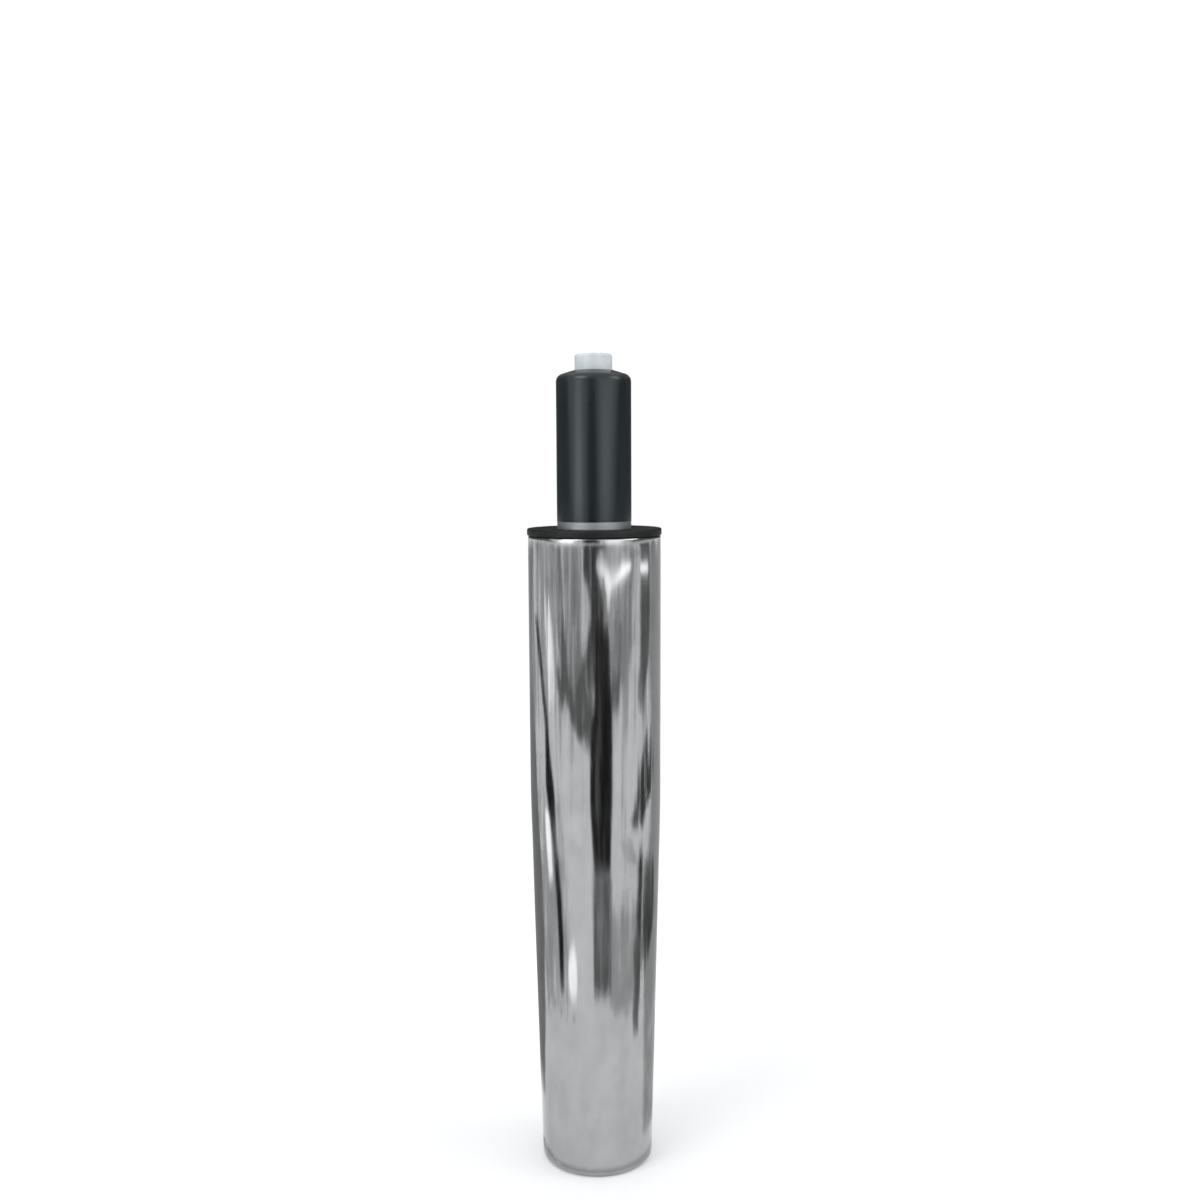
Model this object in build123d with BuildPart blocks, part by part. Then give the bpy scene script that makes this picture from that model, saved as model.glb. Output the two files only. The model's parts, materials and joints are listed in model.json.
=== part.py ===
from build123d import *
import math
import os

os.makedirs("parts", exist_ok=True)

# Gas lift cylinder of a swivel chair, fully lowered, millimetres.
# Z = 0 is the foot of the column and +Z runs up its axis. Every piece is placed from the one that carries it.

# Gaps between pieces
press_gap = 0.05  # on the radius, between pieces pressed into each other
running_gap = 0.10  # on the radius, between pieces that turn or slide in each other
clear_gap = 0.3  # between pieces that pass each other

# Column: chromed steel tube, drawn down to a self-holding cone, its foot rolled inwards
column_diameter = 50.0
column_height = 245.0
column_wall = 1.8
cone_height = 136.0
cone_half_angle = 1 + 26 / 60 + 16 / 3600  # degrees
cone_blend = 12.0  # height over which the straight tube bends into the cone
foot_round = 2.2
foot_lip = 3.4  # how far the rolled foot reaches in from the outside of the cone
mouth_round = 1.0

# Guide bush: moulded plastic sleeve on fins, hung in the mouth of the column by its flange
bush_length = 88.0
bush_sleeve_wall = 2.2
bush_fin_count = 8
bush_fin_width = 1.8
bush_fin_lead = 1.2  # chamfer that leads the fins into the column
bush_bore_lead = 0.6  # chamfer at both ends of the bore
bush_collar = 8.0  # solid stretch under the flange
flange_overhang = 0.3
flange_height = 2.5
flange_round = 0.5

# Base plate: pressed cup standing on the rolled foot
plate_recess = 8.0  # underside of the plate above the foot
plate_thickness = 2.5
plate_bend = 1.6

# Ball thrust bearing under the rod's shoulder
ball_diameter = 4.0
ball_count = 10
ball_circle = 18.0
ball_seat_gap = 0.05
race_thickness = 2.4
race_groove_depth = 0.7
race_land = 2.0  # flat left on each side of the groove
cage_thickness = 1.2
cage_margin = 1.3  # cage wall inside and outside the balls

# Piston rod with its lower neck, washer and clip
rod_diameter = 10.0
rod_neck_diameter = 8.0
rod_tip_chamfer = 0.8
rod_tip = 2.5  # rod below the clip
clip_thickness = 1.2
clip_groove_depth = 1.0
clip_play = 0.1
clip_band = 2.4
clip_prong_count = 3
clip_prong_width = 2.2
clip_mouth = 6.4
retaining_washer_thickness = 1.6
retaining_washer_diameter = 19.0

# Rubber buffer on its washer, above the bearing
buffer_washer_thickness = 1.5
buffer_diameter = 26.0
buffer_height = 16.0
buffer_shoulder = 4.0  # full-width band at each end
buffer_waist = 1.6
buffer_chamfer = 1.2

# Spindle: outer tube of the gas spring
spindle_diameter = 28.0
spindle_wall = 1.5
spindle_exposed = 61.0  # top of the crown above the mouth of the column
spindle_shoulder_round = 3.0
spindle_foot_chamfer = 1.0
spindle_foot_lip = 2.5  # reach of the rolled foot inside the bore
crown_thickness = 2.2
crown_angle = 17.0  # degrees that the crown falls from the button's hole to the shoulder
stroke = 120.0

# Rod seal and guide in the foot of the spindle
seal_washer_thickness = 1.5
rod_seal_height = 6.0
rod_seal_base = 2.6
rod_seal_lip = 1.5
rod_guide_height = 10.0
guide_spigot_height = 4.0
guide_slot_count = 3
guide_slot_width = 2.2
guide_slot_depth = 1.2

# Inner pressure tube and piston
gas_gap = 1.5  # space for the gas between the spindle and the inner tube
inner_tube_wall = 1.0
piston_height = 11.0
piston_chamfer = 0.5
piston_groove_width = 3.2
piston_seal_section = 2.6
piston_washer_thickness = 1.2
piston_washer_diameter = 15.0
rivet_height = 1.1
rivet_reach = 1.2
stop_sleeve_wall = 1.8

# Release valve at the top of the spindle
press_travel = 3.5
button_diameter = 14.0
button_height = 6.2  # above the spindle's crown
button_side = 5.7  # straight side under the slightly domed top
button_edge_round = 1.0
button_flange_reach = 1.3
button_flange_height = 3.4
button_socket_depth = 3.4
valve_cap_floor = 4.0
valve_pin_diameter = 4.0
valve_pin_waist_diameter = 2.6
valve_head_diameter = 8.6
valve_head_height = 2.2
valve_body_length = 30.0
valve_spigot_length = 9.0
valve_neck_length = 6.0
valve_seat_diameter = 6.0
valve_seat_depth = 2.6
valve_chamber_diameter = 7.2
valve_port_diameter = 1.8
valve_port_count = 2
seal_ring_sides = 8
body_seal_section = 2.0
body_seal_pitch = 6.0
spigot_seal_section = 1.6
pin_seal_section = 1.8
seat_seal_thickness = 1.2

# Column shape
column_radius = column_diameter / 2
column_bore_radius = column_radius - column_wall
cone_slope = math.tan(math.radians(cone_half_angle))
blend_radius = cone_blend / math.sin(math.radians(cone_half_angle))
blend_drop = blend_radius * (1 - math.cos(math.radians(cone_half_angle)))
cone_top_radius = column_radius - blend_drop
foot_radius = cone_top_radius - cone_height * cone_slope
foot_lip_radius = foot_radius - foot_lip


def cone_radius(height):
    """Outside radius of the column's cone at a height above the foot."""
    return foot_radius + height * cone_slope


def column_hollow(gap):
    """Space inside the column above its rolled foot, a gap clear of the wall."""
    inset = column_wall + gap
    with BuildPart() as hollow:
        with BuildSketch(Plane.XZ):
            with BuildLine():
                Polyline(
                    (0, column_wall),
                    (cone_radius(column_wall) - inset, column_wall),
                    (cone_top_radius - inset, cone_height),
                    (column_radius - inset, cone_height + cone_blend),
                    (column_radius - inset, column_height),
                    (0, column_height),
                    close=True,
                )
            make_face()
        revolve(axis=Axis.Z)
    return hollow.part


# Heights from the foot upwards
plate_bottom = plate_recess
plate_top = plate_bottom + plate_thickness
ball_radius = ball_diameter / 2
groove_radius = ball_radius + running_gap
lower_race_top = plate_top + race_thickness
ball_height = lower_race_top - race_groove_depth + ball_seat_gap + ball_radius
upper_race_bottom = ball_height + ball_radius + ball_seat_gap - race_groove_depth
upper_race_top = upper_race_bottom + race_thickness
buffer_bottom = upper_race_top + buffer_washer_thickness
buffer_top = buffer_bottom + buffer_height
spindle_bottom = buffer_top + clear_gap
seal_washer_bottom = spindle_bottom + spindle_wall
rod_seal_bottom = seal_washer_bottom + seal_washer_thickness
rod_guide_bottom = rod_seal_bottom + rod_seal_height
inner_tube_bottom = rod_guide_bottom + rod_guide_height
guide_spigot_top = inner_tube_bottom + guide_spigot_height

# Radii
spindle_radius = spindle_diameter / 2
spindle_bore_radius = spindle_radius - spindle_wall
packing_radius = spindle_bore_radius - press_gap
rod_radius = rod_diameter / 2
rod_neck_radius = rod_neck_diameter / 2
inner_tube_radius = spindle_bore_radius - gas_gap
inner_bore_radius = inner_tube_radius - inner_tube_wall
spigot_radius = inner_bore_radius - press_gap
race_inner_radius = rod_neck_radius + clear_gap
race_outer_radius = ball_circle / 2 + groove_radius + race_land
button_radius = button_diameter / 2
button_hole_radius = button_radius + running_gap
button_flange_radius = button_radius + button_flange_reach
valve_cap_bore_radius = button_flange_radius + clear_gap
pin_radius = valve_pin_diameter / 2
pin_waist_radius = valve_pin_waist_diameter / 2

# Heights from the spindle's crown downwards
spindle_top = column_height + spindle_exposed
crown_slope = math.tan(math.radians(crown_angle))


def crown_height(radius, depth=0):
    """Height of the sloping crown at a radius, or of a face that lies a depth under it."""
    return spindle_top - crown_slope * (radius - button_hole_radius) - depth


button_flange_top = crown_height(button_flange_radius, crown_thickness) - running_gap
button_flange_bottom = button_flange_top - button_flange_height
valve_cap_floor_top = button_flange_bottom - press_travel - clear_gap
valve_body_top = valve_cap_floor_top - valve_cap_floor
valve_body_bottom = valve_body_top - valve_body_length
inner_tube_top = valve_body_bottom + valve_spigot_length
seat_seal_top = valve_body_bottom - running_gap
valve_head_top = seat_seal_top - seat_seal_thickness
valve_head_bottom = valve_head_top - valve_head_height
rivet_top = valve_head_bottom - press_travel - clear_gap
piston_washer_top = rivet_top - rivet_height
piston_top = piston_washer_top - piston_washer_thickness
piston_bottom = piston_top - piston_height


# Column tube
with BuildPart() as column_tube:
    with BuildSketch(Plane.XZ):
        with BuildLine():
            column_cone = Line((foot_radius, 0), (cone_top_radius, cone_height))
            column_blend = TangentArc(
                column_cone @ 1,
                (column_radius, cone_height + cone_blend),
                tangent=column_cone % 1,
            )
            column_straight = Line(column_blend @ 1, (column_radius, column_height))
            Polyline(column_straight @ 1, (0, column_height), (0, 0), (foot_radius, 0))
        make_face()
    revolve(axis=Axis.Z)
    add(column_hollow(0), mode=Mode.SUBTRACT)
    Cylinder(
        foot_lip_radius,
        column_wall,
        align=(Align.CENTER, Align.CENTER, Align.MIN),
        mode=Mode.SUBTRACT,
    )
    column_rings = column_tube.edges().filter_by(GeomType.CIRCLE)
    fillet(column_rings.group_by(Axis.Z)[0].sort_by(SortBy.RADIUS)[-1], foot_round)
    column_rings = column_tube.edges().filter_by(GeomType.CIRCLE)
    fillet(column_rings.group_by(Axis.Z)[-1].sort_by(SortBy.RADIUS)[-1], mouth_round)
column_tube.part.label = "column_tube"
export_step(column_tube.part, "parts/column_tube.step")


# Guide bush
bush_bore_radius = spindle_radius + running_gap
bush_sleeve_radius = bush_bore_radius + bush_sleeve_wall
bush_bottom = column_height - bush_length
bush_collar_bottom = column_height - bush_collar
bush_collar_radius = column_bore_radius - press_gap
flange_radius = column_radius + flange_overhang
flange_top = column_height + flange_height

with BuildPart() as bush_fins:
    with BuildSketch(Plane.XY.offset(bush_bottom)):
        fin_inner = bush_bore_radius + bush_sleeve_wall / 2
        with PolarLocations((fin_inner + column_radius) / 2, bush_fin_count):
            Rectangle(column_radius - fin_inner, bush_fin_width)
    extrude(amount=bush_length - bush_collar)
    add(column_hollow(press_gap), mode=Mode.INTERSECT)
    fin_lead_edges = bush_fins.edges().group_by(Axis.Z)[0].filter_by(GeomType.CIRCLE)
    chamfer(fin_lead_edges, bush_fin_lead)

with BuildPart() as guide_bush:
    with BuildSketch(Plane.XZ):
        with BuildLine():
            Polyline(
                (bush_bore_radius, bush_bottom + bush_bore_lead),
                (bush_bore_radius + bush_bore_lead, bush_bottom),
                (bush_sleeve_radius, bush_bottom),
                (bush_sleeve_radius, bush_collar_bottom),
                (bush_collar_radius, bush_collar_bottom),
                (bush_collar_radius, column_height),
                (flange_radius, column_height),
                (flange_radius, flange_top),
                (bush_bore_radius + bush_bore_lead, flange_top),
                (bush_bore_radius, flange_top - bush_bore_lead),
                close=True,
            )
        make_face()
    revolve(axis=Axis.Z)
    add(bush_fins.part)
    flange_rim = guide_bush.edges().filter_by(GeomType.CIRCLE).sort_by(SortBy.RADIUS)[-2:]
    fillet(flange_rim.sort_by(Axis.Z)[-1], flange_round)
guide_bush.part.label = "guide_bush"
export_step(guide_bush.part, "parts/guide_bush.step")


# Base plate
plate_skirt_radius = cone_radius(plate_bottom) - column_wall - press_gap
skirt_inner_radius = plate_skirt_radius - plate_thickness
plate_hole_radius = rod_neck_radius + running_gap

with BuildPart() as base_plate:
    with BuildSketch(Plane.XZ):
        with BuildLine():
            Polyline(
                (plate_hole_radius, plate_bottom),
                (skirt_inner_radius, plate_bottom),
                (skirt_inner_radius, column_wall),
                (column_radius, column_wall),
                (column_radius, plate_top),
                (plate_hole_radius, plate_top),
                close=True,
            )
        make_face()
    revolve(axis=Axis.Z)
    add(column_hollow(press_gap), mode=Mode.INTERSECT)
    plate_rings = base_plate.edges().filter_by(GeomType.CIRCLE)
    plate_rim = plate_rings.filter_by_position(Axis.Z, plate_top - press_gap, plate_top + press_gap)
    chamfer(plate_rim.sort_by(SortBy.RADIUS)[-1], plate_bend)
base_plate.part.label = "base_plate"
export_step(base_plate.part, "parts/base_plate.step")


def bearing_race(inner_radius, face_height, facing):
    """Thrust race whose grooved face lies at a height and faces up (1) or down (-1)."""
    back_height = face_height - facing * race_thickness
    groove_height = face_height + facing * (groove_radius - race_groove_depth)
    with BuildPart() as race:
        with BuildSketch(Plane.XZ):
            with Locations(((inner_radius + race_outer_radius) / 2, (face_height + back_height) / 2)):
                Rectangle(race_outer_radius - inner_radius, race_thickness)
            with Locations((ball_circle / 2, groove_height)):
                Circle(groove_radius, mode=Mode.SUBTRACT)
        revolve(axis=Axis.Z)
    return race.part


# Bearing races
with BuildPart() as bearing_lower_race:
    add(bearing_race(race_inner_radius, lower_race_top, 1))
bearing_lower_race.part.label = "bearing_lower_race"
export_step(bearing_lower_race.part, "parts/bearing_lower_race.step")

with BuildPart() as bearing_upper_race:
    add(bearing_race(rod_neck_radius + press_gap, upper_race_bottom, -1))
bearing_upper_race.part.label = "bearing_upper_race"
export_step(bearing_upper_race.part, "parts/bearing_upper_race.step")


# Ball cage and balls
with BuildPart() as bearing_cage:
    with BuildSketch(Plane.XY.offset(ball_height - cage_thickness / 2)):
        Circle(ball_circle / 2 + ball_radius + cage_margin)
        Circle(ball_circle / 2 - ball_radius - cage_margin, mode=Mode.SUBTRACT)
        with PolarLocations(ball_circle / 2, ball_count):
            Circle(groove_radius, mode=Mode.SUBTRACT)
    extrude(amount=cage_thickness)
bearing_cage.part.label = "bearing_cage"
export_step(bearing_cage.part, "parts/bearing_cage.step")

with BuildPart() as bearing_balls:
    with Locations((0, 0, ball_height)):
        with PolarLocations(ball_circle / 2, ball_count):
            Sphere(ball_radius)
bearing_balls.part.label = "bearing_balls"
export_step(bearing_balls.part, "parts/bearing_balls.step")


# Piston rod
washer_top = plate_bottom - running_gap
clip_top = washer_top - retaining_washer_thickness
clip_bottom = clip_top - clip_thickness
rod_end = clip_bottom - rod_tip
clip_groove_radius = rod_neck_radius - clip_groove_depth
rivet_radius = rod_neck_radius + rivet_reach

with BuildPart() as piston_rod:
    with BuildSketch(Plane.XZ):
        with BuildLine():
            Polyline(
                (0, rod_end),
                (rod_neck_radius - rod_tip_chamfer, rod_end),
                (rod_neck_radius, rod_end + rod_tip_chamfer),
                (rod_neck_radius, clip_bottom - clip_play),
                (clip_groove_radius, clip_bottom - clip_play),
                (clip_groove_radius, clip_top + clip_play),
                (rod_neck_radius, clip_top + clip_play),
                (rod_neck_radius, upper_race_top),
                (rod_radius, upper_race_top),
                (rod_radius, piston_bottom),
                (rod_neck_radius, piston_bottom),
                (rod_neck_radius, piston_washer_top),
                (rivet_radius, piston_washer_top),
                (rivet_radius - rivet_height / 2, rivet_top),
                (0, rivet_top),
                close=True,
            )
        make_face()
    revolve(axis=Axis.Z)
piston_rod.part.label = "piston_rod"
export_step(piston_rod.part, "parts/piston_rod.step")


def washer(inner_radius, outer_radius, bottom, thickness):
    """Flat ring lying at a height."""
    with BuildPart() as ring:
        with BuildSketch(Plane.XY.offset(bottom)):
            Circle(outer_radius)
            Circle(inner_radius, mode=Mode.SUBTRACT)
        extrude(amount=thickness)
    return ring.part


def seal_ring(circle_radius, height, section):
    """Rubber ring whose round section is pressed into flats by its groove."""
    with BuildPart() as ring:
        with BuildSketch(Plane.XZ):
            with Locations((circle_radius, height)):
                RegularPolygon(
                    section / 2,
                    seal_ring_sides,
                    major_radius=False,
                    rotation=180 / seal_ring_sides,
                )
        revolve(axis=Axis.Z)
    return ring.part


# Retaining washer and clip under the base plate
with BuildPart() as retaining_washer:
    add(
        washer(
            rod_neck_radius + running_gap,
            retaining_washer_diameter / 2,
            clip_top,
            retaining_washer_thickness,
        )
    )
retaining_washer.part.label = "retaining_washer"
export_step(retaining_washer.part, "parts/retaining_washer.step")

clip_relief_radius = rod_neck_radius + clip_play
clip_outer_radius = clip_relief_radius + clip_band
clip_prong_tip = clip_groove_radius + press_gap

with BuildPart() as retaining_clip:
    with BuildSketch(Plane.XY.offset(clip_bottom)):
        Circle(clip_outer_radius)
        Circle(clip_relief_radius, mode=Mode.SUBTRACT)
        with Locations((0, -clip_outer_radius / 2)):
            Rectangle(clip_mouth, clip_outer_radius, mode=Mode.SUBTRACT)
        prong_root = clip_outer_radius - clip_band / 2
        with PolarLocations((clip_prong_tip + prong_root) / 2, clip_prong_count, start_angle=90):
            Rectangle(prong_root - clip_prong_tip, clip_prong_width)
    extrude(amount=clip_thickness)
retaining_clip.part.label = "retaining_clip"
export_step(retaining_clip.part, "parts/retaining_clip.step")


# Buffer washer and rubber buffer
buffer_radius = buffer_diameter / 2
with BuildPart() as buffer_washer:
    add(washer(rod_radius + press_gap, buffer_radius, upper_race_top, buffer_washer_thickness))
buffer_washer.part.label = "buffer_washer"
export_step(buffer_washer.part, "parts/buffer_washer.step")

with BuildPart() as rubber_buffer:
    with BuildSketch(Plane.XZ):
        with BuildLine():
            Polyline(
                (rod_radius + press_gap, buffer_bottom),
                (buffer_radius - buffer_chamfer, buffer_bottom),
                (buffer_radius, buffer_bottom + buffer_chamfer),
                (buffer_radius, buffer_bottom + buffer_shoulder),
                (buffer_radius - buffer_waist, buffer_bottom + buffer_shoulder + buffer_waist),
                (buffer_radius - buffer_waist, buffer_top - buffer_shoulder - buffer_waist),
                (buffer_radius, buffer_top - buffer_shoulder),
                (buffer_radius, buffer_top - buffer_chamfer),
                (buffer_radius - buffer_chamfer, buffer_top),
                (rod_radius + press_gap, buffer_top),
                close=True,
            )
        make_face()
    revolve(axis=Axis.Z)
rubber_buffer.part.label = "rubber_buffer"
export_step(rubber_buffer.part, "parts/rubber_buffer.step")


# Stop sleeve on the rod: it meets the rod guide's spigot at full height
stop_sleeve_bottom = guide_spigot_top + stroke + clear_gap
with BuildPart() as stop_sleeve:
    add(
        washer(
            rod_radius + press_gap,
            rod_radius + stop_sleeve_wall,
            stop_sleeve_bottom,
            piston_bottom - stop_sleeve_bottom,
        )
    )
stop_sleeve.part.label = "stop_sleeve"
export_step(stop_sleeve.part, "parts/stop_sleeve.step")


# Piston with its seal and riveted washer
piston_radius = inner_bore_radius - running_gap
piston_groove_radius = piston_radius - piston_seal_section
piston_middle = (piston_bottom + piston_top) / 2

with BuildPart() as piston:
    with BuildSketch(Plane.XZ):
        with Locations(((rod_neck_radius + press_gap + piston_radius) / 2, piston_middle)):
            Rectangle(piston_radius - rod_neck_radius - press_gap, piston_height)
        with Locations((piston_groove_radius + piston_seal_section / 2, piston_middle)):
            Rectangle(piston_seal_section, piston_groove_width, mode=Mode.SUBTRACT)
    revolve(axis=Axis.Z)
    piston_rims = piston.edges().filter_by(GeomType.CIRCLE)
    piston_low_rim = piston_rims.group_by(Axis.Z)[0].sort_by(SortBy.RADIUS)[-1]
    piston_high_rim = piston_rims.group_by(Axis.Z)[-1].sort_by(SortBy.RADIUS)[-1]
    chamfer([piston_low_rim, piston_high_rim], piston_chamfer)
piston.part.label = "piston"
export_step(piston.part, "parts/piston.step")

with BuildPart() as piston_seal:
    add(seal_ring(piston_radius - piston_seal_section / 2, piston_middle, piston_seal_section - press_gap))
piston_seal.part.label = "piston_seal"
export_step(piston_seal.part, "parts/piston_seal.step")

with BuildPart() as piston_washer:
    add(washer(rod_neck_radius + press_gap, piston_washer_diameter / 2, piston_top, piston_washer_thickness))
piston_washer.part.label = "piston_washer"
export_step(piston_washer.part, "parts/piston_washer.step")


# Spindle tube
spindle_lip_radius = spindle_bore_radius - spindle_foot_lip

with BuildPart() as spindle_tube:
    with BuildSketch(Plane.XZ):
        with BuildLine():
            Polyline(
                (spindle_lip_radius, spindle_bottom),
                (spindle_radius, spindle_bottom),
                (spindle_radius, crown_height(spindle_radius)),
                (button_hole_radius, spindle_top),
                (button_hole_radius, spindle_top - crown_thickness),
                (spindle_bore_radius, crown_height(spindle_bore_radius, crown_thickness)),
                (spindle_bore_radius, seal_washer_bottom),
                (spindle_lip_radius, seal_washer_bottom),
                close=True,
            )
        make_face()
    revolve(axis=Axis.Z)
    spindle_rings = spindle_tube.edges().filter_by(GeomType.CIRCLE).sort_by(SortBy.RADIUS)[-2:]
    fillet(spindle_rings.sort_by(Axis.Z)[-1], spindle_shoulder_round)
    spindle_rings = spindle_tube.edges().filter_by(GeomType.CIRCLE)
    chamfer(spindle_rings.group_by(Axis.Z)[0].sort_by(SortBy.RADIUS)[-1], spindle_foot_chamfer)
spindle_tube.part.label = "spindle_tube"
export_step(spindle_tube.part, "parts/spindle_tube.step")


# Seal washer, rod seal and rod guide
with BuildPart() as seal_washer:
    add(washer(rod_radius + clear_gap, packing_radius, seal_washer_bottom, seal_washer_thickness))
seal_washer.part.label = "seal_washer"
export_step(seal_washer.part, "parts/seal_washer.step")

seal_lip_radius = rod_radius + running_gap
seal_middle_radius = (seal_lip_radius + packing_radius) / 2
rod_seal_top = rod_seal_bottom + rod_seal_height

with BuildPart() as rod_seal:
    with BuildSketch(Plane.XZ):
        with BuildLine():
            Polyline(
                (seal_lip_radius + rod_seal_lip / 2, rod_seal_bottom),
                (packing_radius, rod_seal_bottom),
                (packing_radius, rod_seal_top),
                (packing_radius - rod_seal_lip, rod_seal_top),
                (seal_middle_radius, rod_seal_bottom + rod_seal_base),
                (seal_lip_radius + rod_seal_lip, rod_seal_top),
                (seal_lip_radius, rod_seal_top),
                (seal_lip_radius, rod_seal_top - rod_seal_lip),
                close=True,
            )
        make_face()
    revolve(axis=Axis.Z)
rod_seal.part.label = "rod_seal"
export_step(rod_seal.part, "parts/rod_seal.step")

with BuildPart() as rod_guide:
    with BuildSketch(Plane.XZ):
        with BuildLine():
            Polyline(
                (rod_radius + running_gap, rod_guide_bottom),
                (packing_radius, rod_guide_bottom),
                (packing_radius, inner_tube_bottom),
                (spigot_radius, inner_tube_bottom),
                (spigot_radius, guide_spigot_top),
                (rod_radius + running_gap, guide_spigot_top),
                close=True,
            )
        make_face()
    revolve(axis=Axis.Z)
    # Slots that let the gas pass under the inner tube
    with BuildSketch(Plane.XY.offset(guide_spigot_top)):
        with PolarLocations((spigot_radius + packing_radius) / 2, guide_slot_count):
            Rectangle(packing_radius - spigot_radius + 2 * guide_slot_depth, guide_slot_width)
    extrude(amount=-(guide_spigot_height + guide_slot_depth), mode=Mode.SUBTRACT)
rod_guide.part.label = "rod_guide"
export_step(rod_guide.part, "parts/rod_guide.step")


# Inner pressure tube
with BuildPart() as inner_tube:
    add(washer(inner_bore_radius, inner_tube_radius, inner_tube_bottom, inner_tube_top - inner_tube_bottom))
inner_tube.part.label = "inner_tube"
export_step(inner_tube.part, "parts/inner_tube.step")


# Valve body: spigot for the inner tube, ported neck, and a body with two seal grooves
valve_neck_top = inner_tube_top + valve_neck_length
valve_chamber_bottom = valve_body_bottom + valve_seat_depth
valve_chamber_top = valve_neck_top
pin_pocket_radius = pin_radius + pin_seal_section + press_gap
pin_pocket_bottom = valve_body_top - pin_seal_section - press_gap
body_seal_heights = [valve_body_top - body_seal_pitch * (step + 0.5) for step in range(2)]
spigot_seal_height = valve_body_bottom + valve_spigot_length / 2

with BuildPart() as valve_body:
    with BuildSketch(Plane.XZ):
        with BuildLine():
            Polyline(
                (valve_seat_diameter / 2, valve_body_bottom),
                (spigot_radius, valve_body_bottom),
                (spigot_radius, inner_tube_top),
                (inner_tube_radius, inner_tube_top),
                (inner_tube_radius, valve_neck_top),
                (packing_radius, valve_neck_top),
                (packing_radius, valve_body_top),
                (pin_pocket_radius, valve_body_top),
                (pin_pocket_radius, pin_pocket_bottom),
                (pin_radius + running_gap, pin_pocket_bottom),
                (pin_radius + running_gap, valve_chamber_top),
                (valve_chamber_diameter / 2, valve_chamber_top),
                (valve_chamber_diameter / 2, valve_chamber_bottom),
                (valve_seat_diameter / 2, valve_chamber_bottom),
                close=True,
            )
        make_face()
        for height in body_seal_heights:
            with Locations((packing_radius - body_seal_section / 2, height)):
                Rectangle(body_seal_section, body_seal_section + 2 * press_gap, mode=Mode.SUBTRACT)
        with Locations((spigot_radius - spigot_seal_section / 2, spigot_seal_height)):
            Rectangle(spigot_seal_section, spigot_seal_section + 2 * press_gap, mode=Mode.SUBTRACT)
    revolve(axis=Axis.Z)
    with Locations((0, 0, (inner_tube_top + valve_neck_top) / 2)):
        with PolarLocations(0, valve_port_count):
            Cylinder(
                valve_port_diameter / 2,
                inner_tube_radius,
                rotation=(0, 90, 0),
                align=(Align.CENTER, Align.CENTER, Align.MIN),
                mode=Mode.SUBTRACT,
            )
valve_body.part.label = "valve_body"
export_step(valve_body.part, "parts/valve_body.step")

with BuildPart() as valve_body_seals:
    for height in body_seal_heights:
        add(seal_ring(packing_radius - body_seal_section / 2, height, body_seal_section - press_gap))
valve_body_seals.part.label = "valve_body_seals"
export_step(valve_body_seals.part, "parts/valve_body_seals.step")

with BuildPart() as inner_tube_seal:
    add(
        seal_ring(
            spigot_radius - spigot_seal_section / 2,
            spigot_seal_height,
            spigot_seal_section - press_gap,
        )
    )
inner_tube_seal.part.label = "inner_tube_seal"
export_step(inner_tube_seal.part, "parts/inner_tube_seal.step")

with BuildPart() as valve_pin_seal:
    add(
        seal_ring(
            pin_radius + press_gap + pin_seal_section / 2,
            valve_body_top - press_gap - pin_seal_section / 2,
            pin_seal_section - press_gap,
        )
    )
valve_pin_seal.part.label = "valve_pin_seal"
export_step(valve_pin_seal.part, "parts/valve_pin_seal.step")


# Valve cap: cup under the sloping crown that guides the pin and leaves room for the button's flange
valve_cap_depth = crown_thickness + press_gap
with BuildPart() as valve_cap:
    with BuildSketch(Plane.XZ):
        with BuildLine():
            Polyline(
                (pin_radius + running_gap, valve_body_top),
                (packing_radius, valve_body_top),
                (packing_radius, crown_height(packing_radius, valve_cap_depth)),
                (valve_cap_bore_radius, crown_height(valve_cap_bore_radius, valve_cap_depth)),
                (valve_cap_bore_radius, valve_cap_floor_top),
                (pin_radius + running_gap, valve_cap_floor_top),
                close=True,
            )
        make_face()
    revolve(axis=Axis.Z)
valve_cap.part.label = "valve_cap"
export_step(valve_cap.part, "parts/valve_cap.step")


# Push button: nearly flat head, shank through the crown and a flange that holds it in
button_side_top = spindle_top + button_side
button_top = spindle_top + button_height
button_socket_top = button_flange_bottom + button_socket_depth
button_socket_radius = pin_radius + press_gap

with BuildPart() as push_button:
    with BuildSketch(Plane.XZ):
        with BuildLine():
            button_dome = TangentArc((0, button_top), (button_radius, button_side_top), tangent=(1, 0))
            Polyline(
                button_dome @ 1,
                (button_radius, button_flange_top),
                (button_flange_radius, button_flange_top),
                (button_flange_radius, button_flange_bottom),
                (button_socket_radius, button_flange_bottom),
                (button_socket_radius, button_socket_top),
                (0, button_socket_top),
                (0, button_top),
            )
        make_face()
    revolve(axis=Axis.Z)
    button_rim = push_button.edges().filter_by_position(
        Axis.Z, button_side_top - press_gap, button_side_top + press_gap
    )
    fillet(button_rim, button_edge_round)
push_button.part.label = "push_button"
export_step(push_button.part, "parts/push_button.step")


# Valve pin: shank up to the button, waist in the gas chamber and a head under the seat
waist_top = (valve_chamber_bottom + valve_chamber_top) / 2

with BuildPart() as valve_pin:
    with BuildSketch(Plane.XZ):
        with BuildLine():
            Polyline(
                (0, valve_head_bottom),
                (valve_head_diameter / 2, valve_head_bottom),
                (valve_head_diameter / 2, valve_head_top),
                (pin_waist_radius, valve_head_top),
                (pin_waist_radius, waist_top),
                (pin_radius, waist_top + pin_radius - pin_waist_radius),
                (pin_radius, button_socket_top),
                (0, button_socket_top),
                close=True,
            )
        make_face()
    revolve(axis=Axis.Z)
valve_pin.part.label = "valve_pin"
export_step(valve_pin.part, "parts/valve_pin.step")

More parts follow.
